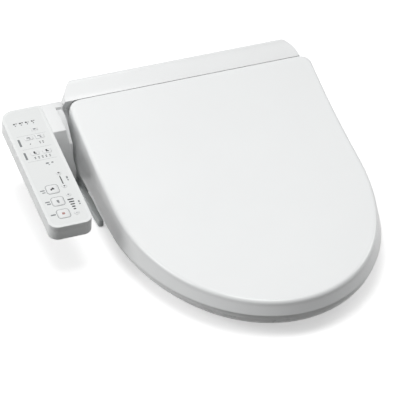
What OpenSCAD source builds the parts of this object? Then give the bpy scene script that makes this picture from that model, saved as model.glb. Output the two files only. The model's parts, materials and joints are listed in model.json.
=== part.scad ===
// Electric bidet seat with a side control panel.
// X across, -Y towards the nose, +Z up. Z = 0 is the rim of the bowl.
// The origin lies midway between the two mounting holes, on the rim.

/* [Overall] */
// Depth from the rear wall of the case to the nose of the lid
overall_d = 525; // [500:5:560]
// Height of the case above the rim
case_h = 147.5; // [140:0.5:160]
// Distance from the mounting holes back to the rear wall
rear_setback = 53; // [48:1:60]

/* [Lid] */
// Width of the lid over its skirts
lid_w = 394; // [370:2:420]
// Height of the lid top at the nose
lid_nose_h = 57.5; // [54:0.5:64]
// Rise of the straight part of the lid's slope
lid_slope_rise = 10.5; // [6:0.5:16]
// Power of the curved part of the lid's slope
lid_curve_power = 2.6; // [2:0.1:4]
// Height of the skirt's lower edge at the nose
skirt_edge_h = 36.5; // [34:0.5:40]
// Rise of the skirt's lower edge towards the hinge
skirt_edge_rise = 18; // [8:1:24]
// Length of the elliptical nose of the plan outline
nose_len = 279; // [240:1:300]
// Radius of the lid's rear corners in plan
lid_corner_r = 14; // [8:1:24]
// Wall thickness of the lid
lid_wall = 3; // [2.4:0.1:4]
// How far the top edge of the skirt leans in
skirt_lean = 4; // [2:0.5:8]
// Radius of the lid's top edge
lid_edge_r = 4; // [3:0.5:6]

/* [Seat] */
// How far the seat stays inside the lid's skirt
seat_inset = 2.5; // [2:0.5:6]
// Height of the seating face
seat_h = 50; // [48:0.5:52]
// Height of the seat's outer rim above the bowl
seat_rim_h = 29; // [26:0.5:31]
// Height of the seat's under face above the bowl
seat_under_h = 11; // [8:0.5:14]
// Width of the opening in the seat
hole_w = 206; // [190:2:220]
// Length of the opening in the seat
hole_l = 274; // [250:2:285]
// Width of the front of the ring, nose to opening
ring_front_w = 68; // [60:1:80]
// Wall thickness of the seat
seat_wall = 3; // [2.4:0.1:4]

/* [Case] */
// Depth of the sloping strip behind the lid
strip_d = 38.5; // [34:0.5:44]
// Drop of that strip from the rear to the lid
strip_drop = 13; // [8:0.5:18]
// Reach of the case to the panel side
case_left = 193; // [185:1:200]
// Reach of the case to the other side
case_right = 174; // [165:1:185]
// How much wider the case is below its shoulders
case_flare = 8; // [4:1:12]
// Radius of the rear corners in plan
case_corner_r = 24; // [14:1:34]
// Wall thickness of the case
case_wall = 2.8; // [2.2:0.1:3.6]
// Height of the joint between tray and case
tray_h = 26; // [24:1:32]

/* [Hinge] */
// Hinge axis, distance forward of the seam
hinge_fwd = 20.5; // [18:0.5:22]
// Hinge axis, distance below the seam
hinge_drop = 18.5; // [16:0.5:20]
// Radius of the hinge pins
pin_r = 4; // [3:0.25:5]
// Radial running clearance of the pins
pin_gap = 0.06; // [0.03:0.01:0.09]

/* [Panel] */
// Width of the control panel
panel_w = 64.5; // [58:0.5:72]
// Length of the control panel
panel_l = 262; // [250:1:275]
// Thickness of the control panel
panel_t = 24; // [21:0.5:28]
// Slope of the control panel
panel_tilt = 8.3; // [4:0.1:10]
// Gap between the case and the panel
arm_len = 39.5; // [34:0.5:46]
// Height of the middle of the panel face
panel_h = 111; // [106:1:116]
// Travel of the large buttons
button_travel = 0.8; // [0.5:0.1:1.2]
// Side clearance of the buttons
button_gap = 0.25; // [0.15:0.05:0.4]

/* [Mounting] */
// Distance between the mounting holes
hole_pitch = 140; // [130:1:150]
// Radius of the slots' ends
slot_r = 5.5; // [4:0.5:6]
// Length of the slots
slot_len = 31; // [20:1:34]
// Thickness of the bracket
bracket_t = 3; // [2.5:0.5:4]
// Outer radius of the water inlet's thread
inlet_r = 10.4; // [10.4:0.05:10.5]

/* [Wash nozzle] */
// Downward slope of the nozzle
nozzle_tilt = 12; // [11:0.5:13]
// Radius of the nozzle
nozzle_r = 7.5; // [6.5:0.25:8]
// Travel of the nozzle
nozzle_travel = 75; // [60:1:76]
// Module of the nozzle's rack
rack_module = 1; // [0.8:0.05:1.15]

/* [Hidden] */
$fn = 64;

eps = 0.01;
far = 600;
lid_c = [0.95, 0.96, 0.96];
case_c = [0.92, 0.93, 0.93];
grey_c = [0.75, 0.78, 0.78];
dark_c = [0.25, 0.26, 0.27];
metal_c = [0.8, 0.8, 0.82];
board_c = [0.15, 0.4, 0.25];

lid_hw = lid_w/2;
nose_y = rear_setback - overall_d;
seam_y = rear_setback - strip_d;
seam_z = case_h - strip_drop;
nose_mid_y = nose_y + nose_len;
hinge_y = seam_y - hinge_fwd;
hinge_z = seam_z - hinge_drop;
seam_gap = 0.8;
lid_end_r = norm([hinge_fwd, hinge_drop]) - seam_gap/2;
trough_r = lid_end_r + seam_gap;

// ---- curves of the lid, all functions of y
lid_run = seam_y - nose_y;
lid_curve_rise = seam_z - lid_nose_h - lid_slope_rise;
function along(y) = max(0, (y - nose_y)/lid_run);
function lid_z(y) = lid_nose_h + lid_slope_rise*along(y)
    + lid_curve_rise*pow(along(y), lid_curve_power);
function skirt_z(y) = skirt_edge_h + skirt_edge_rise*pow(along(y), 6);

// ---- plan outline: half an ellipse, straight sides and round rear corners
nose_n = 22;
side_n = 9;
corner_n = 4;
function half_outline(hw, fy, my, ry, cr, ins) = [
    for (i = [0:nose_n]) let (a = 90*i/nose_n)
        [(hw - ins)*sin(a), my - (my - fy - ins)*cos(a)],
    for (i = [1:side_n]) [hw - ins, my + (ry - cr - my)*i/side_n],
    for (i = [1:corner_n]) let (a = 90*i/corner_n, r = max(cr - ins, 1))
        [hw - cr + r*cos(a) + (cr - ins - r), ry - cr + r*sin(a) + (cr - ins - r)]];
function mirrored(pts) = [for (i = [len(pts) - 1:-1:1]) [-pts[i][0], pts[i][1]]];
function closed_outline(hw, fy, my, ry, cr, ins) =
    let (h = half_outline(hw, fy, my, ry, cr, ins)) concat(h, mirrored(h));
function with_z(pts, zs) = [for (i = [0:len(pts) - 1]) [pts[i][0], pts[i][1], zs[i]]];

// A closed solid through rings that each hold the same number of points. The end caps are
// strips between each point of an outline and its mirror image.
module ring_loft(rings) {
    n = len(rings[0]);
    k = len(rings);
    m = (n + 1)/2;
    pts = [for (r = rings) each r];
    sides = [for (j = [0:k - 2], i = [0:n - 1], s = [0:1]) let (a = j*n + i, b = j*n + (i + 1)%n)
        s == 0 ? [a, a + n, b] : [b, a + n, b + n]];
    function strip(o, up) = [for (i = [0:m - 2]) each let (
            r0 = o + i, r1 = o + i + 1, l0 = o + (n - i)%n, l1 = o + (n - i - 1)%n)
        i == 0 ? [up ? [r0, l1, r1] : [r0, r1, l1]]
        : up ? [[r0, l0, r1], [r1, l0, l1]] : [[r0, r1, l0], [r1, l1, l0]]];
    polyhedron(concat(pts), concat(sides, strip(0, false), strip((k - 1)*n, true)));
}

function lid_ring(ins, f, z_off) = let (
        p = closed_outline(lid_hw, nose_y, nose_mid_y, seam_y + 14, lid_corner_r, ins))
    with_z(p, [for (q = p) skirt_z(q[1])*(1 - f) + lid_z(q[1])*f + z_off]);
edge_n = 3;
module lid_skin(ins, drop, low) {
    ring_loft(concat([lid_ring(ins, 0, low), lid_ring(ins + skirt_lean, 1, -drop - lid_edge_r)],
        [for (i = [1:edge_n]) let (a = 90*i/edge_n)
            lid_ring(ins + skirt_lean + lid_edge_r*(1 - cos(a)), 1,
                -drop - lid_edge_r*(1 - sin(a)))]));
}
// What the lid may fill at its rear: everything ahead of the hinge, and a round end
// that turns about the hinge axis behind the strip's edge
module lid_reach() {
    translate([-far/2, 0, 0]) rotate([90, 0, 90]) linear_extrude(far) {
        polygon([[-far, 0], [seam_y - seam_gap, 0], [seam_y - seam_gap, hinge_z + 3],
            [hinge_y + 1, hinge_z + 3], [hinge_y + 1, 300], [-far, 300]]);
        translate([hinge_y, hinge_z]) circle(lid_end_r);
    }
}
module hinge_rod(x0, x1, r) {
    translate([x0, hinge_y, hinge_z]) rotate([0, 90, 0]) cylinder(h = x1 - x0, r = r);
}

module lid_shell() {
    color(lid_c) intersection() {
        difference() {
            lid_skin(0, 0, 0);
            lid_skin(lid_wall, lid_wall, -30);
        }
        lid_reach();
    }
}

// ---- hinge: pins in the case's posts, seat lugs inside them, lid lugs outside them
post_x = lid_hw - 97;
post_w = 12;
lug_w = 12;
lug_gap = 0.6;
rear_slope = atan((lid_slope_rise + lid_curve_power*lid_curve_rise)/lid_run);
lug_r = hinge_drop*cos(rear_slope) - hinge_fwd*sin(rear_slope) - lid_wall - 0.6;
seat_lug_x = post_x - lug_gap - lug_w;
lid_lug_x = post_x + post_w + lug_gap;
pin_x0 = seat_lug_x - 3;
pin_x1 = lid_lug_x + lug_w + 1.5;

module both_sides() {
    children();
    mirror([1, 0, 0]) children();
}
module hinge_pins() {
    color(metal_c) both_sides() {
        hinge_rod(pin_x0, pin_x1, pin_r);
        hinge_rod(pin_x1, pin_x1 + 2, pin_r + 2);
    }
}
module lid_hinge_lugs() {
    color(lid_c) both_sides() difference() {
        union() {
            hinge_rod(lid_lug_x, lid_lug_x + lug_w, lug_r);
            intersection() {
                translate([lid_lug_x, hinge_y - 2*lug_r, hinge_z]) cube([lug_w, 3*lug_r, 40]);
                lid_skin(lid_wall, lid_wall, -30);
            }
        }
        hinge_rod(lid_lug_x - 1, lid_lug_x + lug_w + 1, pin_r + pin_gap);
    }
}
bumper_gap = 0.4;
bumper_y = [nose_y + 45, nose_mid_y - 40];
bumper_x = [52, 150];
module lid_bumpers() {
    color(grey_c) both_sides() for (i = [0:1]) intersection() {
        translate([bumper_x[i], bumper_y[i], seat_h + bumper_gap]) cylinder(h = 30, r = 6);
        lid_skin(lid_wall, lid_wall, -30);
    }
}

// ---- seat: a hollow ring, swept round the opening in steps of one angle
seat_n = 72;
seat_back_y = hinge_y - 34;
hole_y0 = nose_y + ring_front_w;
hole_mid_y = hole_y0 + hole_l/2;
seat_rise = 46;
rise_start_y = seat_back_y - 110;
back_bar_t = 17;
function polar_r(a, hx, hy, n) =
    1/pow(pow(abs(cos(a))/hx, n) + pow(abs(sin(a))/hy, n), 1/n);
function seat_out(a, d) = let (
        f = nose_len - seat_inset - d, b = seat_back_y - nose_mid_y - d,
        r = sin(a) < 0 ? polar_r(a, lid_hw - seat_inset - d, f, 2)
            : polar_r(a, lid_hw - seat_inset - d, b, 6))
    [r*cos(a), nose_mid_y + r*sin(a)];
function seat_in(a, d) = let (r = polar_r(a, hole_w/2 + d, hole_l/2 + d, 2.3))
    [r*cos(a), hole_mid_y + r*sin(a)];
function ramp(v) = let (t = min(max(v, 0), 1)) t*t*(3 - 2*t);
function rise(y) = seat_rise*pow(max(0, (y - rise_start_y)/(seat_back_y - rise_start_y)), 2);
function back(a) = ramp((sin(a) - 0.55)/0.3);
function bar_lift(a) = (seat_h - seat_under_h - back_bar_t)*back(a);
function seat_pt(a, s, z, d, lift = 1) = let (
        o = seat_out(a, d), i = seat_in(a, d), p = o + (i - o)*s)
    [p[0], p[1], z + rise(p[1])*lift];
function rim_pt(a, s, z, d) = seat_pt(a, s, z, d, back(a));
// top of the ring: share of its width, drop below the seating face
face_steps = [[0.12, 5], [0.17, 2], [0.26, 0.5], [0.42, 0], [0.62, 0.6], [0.8, 2.4], [0.94, 6.5]];
rim_t = 6.5;
rim_step = [0.1, 14];
edge_drop = 13;
// how much less those drops are at the back of the ring
back_rim = 10;
back_edge = 5;
back_joint = 8;
function top_profile(a, d) = concat(
    [seat_pt(a, rim_step[0], seat_h - rim_step[1] + back_rim*back(a), d)],
    [for (p = face_steps) seat_pt(a, p[0], seat_h - p[1] - d, d)],
    [seat_pt(a, 1, seat_h - edge_drop + back_edge*back(a), d)]);
module ring_sweep(sections) {
    n = len(sections);
    k = len(sections[0]);
    polyhedron([for (q = sections) each q],
        [for (i = [0:n - 1], j = [0:k - 1], s = [0:1]) let (
            a = i*k + j, b = i*k + (j + 1)%k, c = (i + 1)%n*k + j, e = (i + 1)%n*k + (j + 1)%k)
            s == 0 ? [a, c, b] : [b, c, e]]);
}
function seat_angle(i) = 360*i/seat_n;
function joint_z(a) = seat_rim_h + back_joint*back(a);
module seat_top() {
    color(lid_c) ring_sweep([for (i = [0:seat_n - 1]) let (a = seat_angle(i)) concat(
        [rim_pt(a, 0, joint_z(a), 0), rim_pt(a, 0, joint_z(a) + rim_t, 0)],
        top_profile(a, 0),
        [rim_pt(a, 1, joint_z(a), 0), rim_pt(a, 1, joint_z(a), seat_wall)],
        [for (p = [len(face_steps) - 1:-1:0])
            seat_pt(a, face_steps[p][0], seat_h - face_steps[p][1] - seat_wall, seat_wall)],
        [rim_pt(a, 0.02, joint_z(a) + rim_t - seat_wall, seat_wall),
            rim_pt(a, 0, joint_z(a), seat_wall)])]);
}
under_s = 0.26;
joint_gap = 0.08;
module seat_base() {
    color(lid_c) ring_sweep([for (i = [0:seat_n - 1]) let (
            a = seat_angle(i), u = seat_under_h + bar_lift(a), j = joint_z(a) - joint_gap) [
        rim_pt(a, 0, j, 0.3), each [for (k = [0:5]) rim_pt(a, k/5, j, seat_wall)],
        rim_pt(a, 1, j, 0.3), rim_pt(a, 0.97, u + 3, 0.3), rim_pt(a, 0.9, u, 0.3),
        rim_pt(a, 0.69, u, 0.3), rim_pt(a, 0.47, u, 0.3), rim_pt(a, under_s, u, 0.3)]]);
}
// the heating foil keeps this far under the seat's inner face, at shares of the ring's width
heater_steps = [[0.3, 0.375], [0.42, 0], [0.62, 0.6], [0.72, 1.6]];
heater_gap = 1.1;
heater_t = 1;
module seat_heater() {
    color(dark_c) ring_sweep([for (i = [0:seat_n - 1]) let (
            a = seat_angle(i), z = seat_h - seat_wall - heater_gap) concat(
        [for (p = heater_steps) seat_pt(a, p[0], z - p[1], seat_wall)],
        [for (p = [len(heater_steps) - 1:-1:0])
            seat_pt(a, heater_steps[p][0], z - heater_steps[p][1] - heater_t, seat_wall)])]);
}
seat_lug_len = 56;
seat_lug_drop = 36;
module seat_hinge_lugs() {
    color(lid_c) both_sides() translate([seat_lug_x, hinge_y, hinge_z]) rotate([90, 0, 90])
        linear_extrude(lug_w) difference() {
            union() {
                circle(lug_r);
                rotate(seat_lug_drop) translate([-seat_lug_len, 0.8 - lug_r])
                    square([seat_lug_len - 1, 2*(lug_r - 0.8)]);
            }
            circle(pin_r + pin_gap);
        }
}
seat_bumper_y = [nose_y + 64, nose_mid_y - 30];
seat_bumper_x = [62, 150];
module seat_bumpers() {
    color(grey_c) both_sides() for (i = [0:1])
        translate([seat_bumper_x[i], seat_bumper_y[i], 0]) {
            cylinder(h = seat_under_h, r = 8);
            cylinder(h = seat_under_h/2, r = 10);
        }
}

// ---- case and tray
body_y = seat_back_y + 4;
body_top = hinge_z - trough_r - 1.5;
// the part under the lid stays this far inside the lid's outer side
lid_side_gap = 9;
body_left = lid_hw - lid_side_gap;
body_right = lid_hw - lid_side_gap - 11;
shoulder_h = 36;
module case_plan(d) {
    w0 = -case_left - case_flare + d;
    w1 = case_right + case_flare - d;
    r = case_corner_r - d;
    translate([w0, seam_y - 10]) square([w1 - w0, rear_setback - d - r - seam_y + 10]);
    for (x = [w0 + r, w1 - r]) translate([x, rear_setback - d - r]) circle(r);
    translate([w0 + r, seam_y - 10]) square([w1 - w0 - 2*r, rear_setback - d - seam_y + 10]);
}
module case_front(d) {
    // outline seen from the front, with shoulders that flare
    polygon([[-case_left - case_flare + d, -1], [case_right + case_flare - d, -1],
        [case_right + case_flare - d, case_h - shoulder_h],
        [case_right - d, case_h - d], [-case_left + d, case_h - d],
        [-case_left - case_flare + d, case_h - shoulder_h]]);
}
top_r = 5;
module case_side(d) {
    // outline seen from the side: the sloping strip ends in a rounded rear edge
    polygon([[seam_y + d, -1], [rear_setback - d, -1], [rear_setback - d, case_h - d - top_r],
        [rear_setback - d - top_r, case_h - d], [seam_y + d, seam_z - d]]);
    translate([rear_setback - d - top_r, case_h - d - top_r]) circle(top_r);
}
module case_block(d) {
    intersection() {
        linear_extrude(case_h) case_plan(d);
        translate([0, far/2, 0]) rotate([90, 0, 0]) linear_extrude(far) case_front(d);
        translate([-far/2, 0, 0]) rotate([90, 0, 90]) linear_extrude(far) case_side(d);
    }
}
body_slope = 20;
module body_block(d, top) {
    // the part under the lid, with a sloping front edge that the seat's lugs pass over
    c = body_slope + 0.4*d;
    translate([-body_left + d, 0, 0]) rotate([90, 0, 90]) linear_extrude(body_left + body_right - 2*d)
        polygon([[body_y + d, -1], [seam_y + 4, -1], [seam_y + 4, top - d],
            [body_y + c + 0.2*d, top - d], [body_y + d, top - c - 0.2*d]]);
}
module below(z) {
    translate([-far/2, -far/2, z - 400]) cube([far, far, 400]);
}
nozzle_door_w = 76;
module rear_case() {
    color(case_c) {
        difference() {
            union() {
                case_block(0);
                body_block(0, body_top);
            }
            difference() {
                union() {
                    case_block(case_wall);
                    body_block(case_wall, body_top);
                    translate([-body_left + case_wall, 0, 0])
                        cube([body_left + body_right - 2*case_wall, 30, body_top - case_wall]);
                }
                hinge_rod(-far/2, far/2, trough_r + case_wall);
            }
            hinge_rod(-far/2, far/2, trough_r);
            below(tray_h);
            translate([-nozzle_door_w/2 + 4, body_y - 1, 0])
                cube([nozzle_door_w - 8, case_wall + 2, hood_h - case_wall]);
        }
        both_sides() difference() {
            union() {
                hinge_rod(post_x, post_x + post_w, lug_r);
                translate([post_x, hinge_y - 10, body_top - 1]) cube([post_w, 9, hinge_z - body_top + 1]);
            }
            hinge_rod(post_x - 1, post_x + post_w + 1, pin_r);
        }
        saddle(damper_x[0]);
        saddle(-damper_x[1] - damper_len);
    }
}
damper_len = 30;
damper_r = lug_r;
damper_x = [pin_x0 - 0.3 - damper_len, pin_x1 + 2.3];
module saddle(x) {
    difference() {
        translate([x + 8, hinge_y - 10, body_top - 1]) cube([damper_len - 16, 9, hinge_z - body_top]);
        hinge_rod(x - 1, x + damper_len + 1, damper_r + 0.1);
    }
}
module damper(x, side) {
    color(dark_c) {
        hinge_rod(x, x + damper_len, damper_r);
        hinge_rod(side > 0 ? x + damper_len : x - 0.3, side > 0 ? x + damper_len + 0.3 : x, 3);
    }
}
module seat_damper() { damper(damper_x[0], 1); }
module lid_damper() { damper(-damper_x[1] - damper_len, 1); }

foot_t = 1.5;
tray_floor = 2.5;
tray_wall = 2.5;
rail_x = 90;
tunnel_w = 2*(rail_x + 7.5);
tunnel_h = 17.5;
wing_l = 129;
wing_t = 7;
wing_h = 10.5;
module wing(x, w) {
    translate([x, -wing_l + w/2, foot_t]) cube([w, wing_l - w/2 + seam_y - 1, wing_h]);
    translate([x + w/2, -wing_l + w/2, foot_t]) cylinder(h = wing_h, r = w/2);
}
inlet_y = rear_setback - 23;
inlet_z = foot_t + 12.3;
latch_y = body_y + 22;
module base_tray() {
    color(grey_c) {
        difference() {
            union() {
                intersection() {
                    union() { case_block(0); body_block(0, 100); }
                    translate([-far/2, -far/2, foot_t]) cube([far, far, tray_h - foot_t - eps]);
                }
                wing(-body_left - wing_t, wing_t + 2);
                wing(body_right - 2, wing_t + 2);
            }
            difference() {
                translate([0, 0, foot_t + tray_floor]) intersection() {
                    union() { case_block(tray_wall); body_block(tray_wall, 100);
                        translate([-body_left + tray_wall, body_y + tray_wall, 0])
                            cube([body_left + body_right - 2*tray_wall, 60, tray_h]); }
                    translate([-far/2, -far/2, 0]) cube([far, far, tray_h]);
                }
                translate([-tunnel_w/2 - tray_wall, body_y, 0])
                    cube([tunnel_w + 2*tray_wall, rear_setback - body_y, tunnel_h + tray_wall]);
                for (x = screw_x, y = screw_y) translate([x, y, 0])
                    cylinder(h = foot_t + tray_floor + boss_h, r = 4);
            }
            for (x = screw_x, y = screw_y) translate([x, y, 0])
                cylinder(h = foot_t + tray_floor + boss_h - 1, r = 1.8);
            translate([gland_x, rear_setback - 10, gland_z]) rotate([-90, 0, 0]) cylinder(h = 20, r = 6);
            difference() {
                translate([-tunnel_w/2, body_y + tray_wall, -1])
                    cube([tunnel_w, far, tunnel_h + 1]);
                both_sides() translate([rail_x + 4.3, body_y, foot_t + tray_floor])
                    cube([3.2 + eps, rear_setback - body_y, 3.5]);
            }
            translate([body_right - tray_wall - 1, latch_y - button_w/2 - 0.3, latch_z - 4.8])
                cube([tray_wall + wing_t + 3, button_w + 0.6, 9.6]);
            translate([tunnel_w/2 - 1, latch_y - 5, latch_z - 2.5]) cube([tray_wall + 2, 10, 5]);
            translate([case_right, inlet_y, inlet_z]) rotate([0, 90, 0]) cylinder(h = 20, r = 8);
            for (x = foot_x, y = foot_y) translate([x, y, -1]) cylinder(h = foot_t + 2, r = 8.2);
        }
    }
}
foot_x = [-body_left + 24, body_right - 24];
foot_y = [body_y + 14, rear_setback - 22];
module tray_feet() {
    color(dark_c) for (x = foot_x, y = foot_y) translate([x, y, 0])
        cylinder(h = foot_t + 1, r = 8.2);
}
screw_x = [-body_left + 46, -tunnel_w/2 - 12, tunnel_w/2 + 12, body_right - 46];
screw_y = [body_y + 7, rear_setback - 9];
boss_h = 4.5;
module case_screws() {
    color(metal_c) for (x = screw_x, y = screw_y)
        translate([x, y, foot_t]) cylinder(h = tray_floor + boss_h - 1, r = 1.8);
}

// ---- mounting bracket: a plate with two slots and two lipped rails that the tray slides on
bracket_y0 = -26;
bracket_y1 = 40;
module slot(x) {
    translate([x, 0, -1]) {
        for (s = [-1, 1]) translate([s*(slot_len/2 - slot_r), 0, 0])
            cylinder(h = bracket_t + 2, r = slot_r);
        translate([-slot_len/2 + slot_r, -slot_r, 0])
            cube([slot_len - 2*slot_r, 2*slot_r, bracket_t + 2]);
    }
}
module mounting_bracket() {
    color(case_c) difference() {
        union() {
            translate([-rail_x - 3, bracket_y0, 0]) cube([2*rail_x + 6, bracket_y1 - bracket_y0, bracket_t]);
            both_sides() {
                translate([rail_x, bracket_y0, 0]) cube([3, bracket_y1 - bracket_y0, 11]);
                translate([rail_x, bracket_y0, 8.5]) cube([6.5, bracket_y1 - bracket_y0, 2.5]);
            }
        }
        for (s = [-1, 1]) slot(s*hole_pitch/2);
    }
}
button_w = 14;
latch_z = foot_t + 12;
module release_button() {
    color(case_c) translate([body_right - tray_wall - 2, latch_y - button_w/2, latch_z - 4.5])
        cube([tray_wall + 4.5, button_w, 9]);
}
module release_latch() {
    color(grey_c) {
        translate([tunnel_w/2 - 4, latch_y - 4, latch_z - 2]) cube([
            body_right - tray_wall - 2 - tunnel_w/2 + 4, 8, 4]);
    }
}

// ---- water path
module water_inlet() {
    color(metal_c) translate([case_right + case_flare, inlet_y, inlet_z]) rotate([0, 90, 0])
        difference() {
            union() {
                cylinder(h = inlet_len, r = inlet_r);
                translate([0, 0, -tray_wall - 12]) cylinder(h = tray_wall + 12, r = 7.8);
            }
            translate([0, 0, -30]) cylinder(h = 60, r = 5);
        }
}
inlet_len = 12;
valve_x = case_right + case_flare - tray_wall - 12 - 26;
module inlet_valve() {
    color(grey_c) {
        translate([valve_x, inlet_y - 12, foot_t + tray_floor]) cube([26, 24, 24]);
        translate([valve_x + 13, inlet_y, foot_t + tray_floor + 24])
            cylinder(h = duct[2] - foot_t - tray_floor - 24, r = 9);
    }
}
tank_x = -body_left + 16;
tank_size = [66, 68, 65];
tank_y = -22;
tank_z = foot_t + tray_floor + boss_h;
tank_wall = 2.5;
module water_tank() {
    color("whitesmoke") difference() {
        translate([tank_x, tank_y, tank_z]) cube(tank_size);
        translate([tank_x + tank_wall, tank_y + tank_wall, tank_z + tank_wall])
            cube([for (d = tank_size) d - 2*tank_wall]);
    }
}
module tank_heater() {
    color(metal_c) translate([tank_x + 25, tank_y + 36, tank_z + tank_wall]) {
        for (s = [-1, 1]) translate([s*8, 0, 0]) cylinder(h = 34, r = 3);
        translate([0, 0, 34]) rotate([90, 0, 0]) rotate_extrude(angle = 180)
            translate([8, 0]) circle(3);
    }
}
module float_switch() {
    color(dark_c) translate([tank_x + 52, tank_y + 20, tank_z + tank_wall]) {
        cylinder(h = 60, r = 2);
        translate([0, 0, 40]) cylinder(h = 12, r = 6);
    }
}
hose_r = 3;
cold_hose = [40, 23.5];
warm_hose = [20, 46];
module water_hoses() {
    // cold line from the valve to the tank, warm line from the tank to the nozzle's guide
    x0 = tank_x + tank_size[0];
    color("lightgrey") {
        translate([x0, cold_hose[0], cold_hose[1]]) rotate([0, 90, 0])
            cylinder(h = valve_x - x0, r = hose_r);
        translate([x0, warm_hose[0], warm_hose[1]]) rotate([0, 90, 0])
            cylinder(h = -guide_w/2 - x0, r = hose_r);
    }
}

// ---- wash nozzle, drawn along its own sloping axis
nozzle_y = body_y - 52;
nozzle_z = 27;
arm_l = 134;
tip_l = 14;
rack_w = 5;
rack_base = nozzle_r + 0.7;
pinion_n = 12;
pinion_y = arm_l - nozzle_travel - 4;
rack_pitch = rack_module*PI;
pitch_r = rack_module*pinion_n/2;
dedendum = 1.25*rack_module;
mesh_h = rack_base + dedendum;
tooth_play = 0.28;
module on_nozzle() {
    translate([0, nozzle_y, nozzle_z]) rotate([nozzle_tilt, 0, 0]) children();
}
module lying(y, h, r) {
    translate([0, y, 0]) rotate([-90, 0, 0]) cylinder(h = h, r = r);
}
module tooth(root, mid, tip, below, above) {
    // section of one tooth: half widths at its root, pitch line and tip
    polygon([[-root, -below], [root, -below], [mid, 0], [tip, above], [-tip, above], [-mid, 0]]);
}
flank = tan(20);
half_tooth = rack_pitch/4 - tooth_play;
module nozzle_arm() {
    color("white") on_nozzle() {
        difference() {
            lying(tip_l, arm_l - tip_l, nozzle_r);
            lying(tip_l - 1, arm_l, 3);
        }
        translate([-rack_w/2, pinion_y - 4, nozzle_r - 1])
            cube([rack_w, arm_l - pinion_y + 4, rack_base - nozzle_r + 1]);
        n = floor((arm_l - pinion_y - 2)/rack_pitch);
        for (i = [0:n - 1]) translate([rack_w/2, pinion_y + (i + 0.5)*rack_pitch, mesh_h])
            rotate([90, 0, -90]) linear_extrude(rack_w)
                tooth(half_tooth + flank*dedendum, half_tooth, half_tooth - flank*rack_module,
                    dedendum + 0.3, rack_module);
    }
}
module nozzle_tip() {
    color("white") on_nozzle() difference() {
        union() {
            lying(3, tip_l - 3, nozzle_r);
            lying(0, 3, nozzle_r - 1.5);
        }
        for (i = [0:2]) translate([0, 5 + 2.6*i, 2]) cylinder(h = 10, r = 0.5);
    }
}
module drive_pinion() {
    color("orange") on_nozzle() translate([-rack_w/2, pinion_y, mesh_h + pitch_r])
        rotate([90, 0, 90]) difference() {
            union() {
                cylinder(h = rack_w, r = pitch_r - dedendum + 0.2);
                for (i = [0:pinion_n - 1]) rotate(360*i/pinion_n) translate([0, -pitch_r, 0])
                    linear_extrude(rack_w) mirror([0, 1]) tooth(half_tooth + flank*dedendum*0.8,
                        half_tooth, half_tooth*0.5, dedendum + 0.3, rack_module*0.9);
            }
            translate([0, 0, -1]) cylinder(h = rack_w + 2, r = shaft_r + 0.05);
        }
}
shaft_r = 1.5;
motor_r = 9;
motor_x = nozzle_r + 1;
module nozzle_motor() {
    color(dark_c) on_nozzle() translate([0, pinion_y, mesh_h + pitch_r]) rotate([0, 90, 0]) {
        translate([0, 0, motor_x]) cylinder(h = 18, r = motor_r);
        translate([0, 0, -rack_w/2 - 1]) cylinder(h = motor_x + rack_w/2 + 1, r = shaft_r);
    }
}
guide_w = 2*(nozzle_r + 3);
guide_l = 106;
module nozzle_guide() {
    color(grey_c) difference() {
        union() {
            on_nozzle() translate([-guide_w/2, 12, -nozzle_r - 3]) cube([guide_w, guide_l, nozzle_r + 6]);
            for (y = [body_y + 12, rear_setback - 26]) translate([-5, y, tunnel_h + tray_wall])
                cube([10, 8, 26]);
        }
        on_nozzle() lying(0, 200, nozzle_r + 0.3);
        on_nozzle() translate([-far/2, -50, 3]) cube([far, 250, 100]);
    }
}
module nozzle_housing() {
    // hood that carries the nozzle's mouth, ahead of the case
    front = nozzle_y - 3;
    color(case_c) difference() {
        hood(0, front);
        translate([0, 1, 0]) hood(case_wall, front + case_wall - 1);
        on_nozzle() {
            lying(-20, 40, nozzle_r + 2);
            translate([-rack_w/2 - 1, -20, 0]) cube([rack_w + 2, 40, mesh_h + rack_module + 1.2]);
        }
    }
}
hood_h = 68;
module hood(d, front) {
    w = nozzle_door_w - 2*d;
    translate([-w/2, 0, 0]) rotate([90, 0, 90]) linear_extrude(w)
        polygon([[front, 8 + d], [body_y - 0.2, 8 + d], [body_y - 0.2, hood_h - d],
            [body_y - 12, hood_h - 2 - d], [front, 44 - d]]);
}

// ---- electrics
board_y = -20;
module power_board() {
    color(board_c) translate([32, board_y, tray_h + 2]) cube([62, 58, 1.6]);
    color(grey_c) for (x = [36, 86], y = [board_y + 4, board_y + 50])
        translate([x, y, tunnel_h + tray_wall]) cylinder(h = tray_h + 2 - tunnel_h - tray_wall, r = 2);
}
module board_components() {
    color(dark_c) {
        for (i = [0:2]) translate([42 + 14*i, board_y + 14, tray_h + 3.6]) cylinder(h = 18, r = 5);
        translate([38, board_y + 26, tray_h + 3.6]) cube([22, 14, 14]);
        translate([66, board_y + 26, tray_h + 3.6]) cube([20, 10, 10]);
    }
}
module transformer() {
    color(dark_c) translate([-92, -24, tunnel_h + tray_wall]) cube([44, 36, 34]);
}
duct = [body_right - 73, -30, 36];
duct_size = [62, 74, 30];
fan_c = [duct[0] + 31, duct[1] + 42];
fan_r = 22;
module deodorizer_duct() {
    color(grey_c) difference() {
        translate(duct) cube(duct_size);
        translate([fan_c[0], fan_c[1], duct[2] + 2.5]) cylinder(h = duct_size[2] - 5, r = fan_r + 3);
        translate([duct[0] + 3, duct[1] - 1, duct[2] + 2.5]) cube([duct_size[0] - 6, 24, duct_size[2] - 5]);
        translate([fan_c[0], fan_c[1], duct[2] - 1]) cylinder(h = 5, r = 8.3);
    }
}
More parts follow.
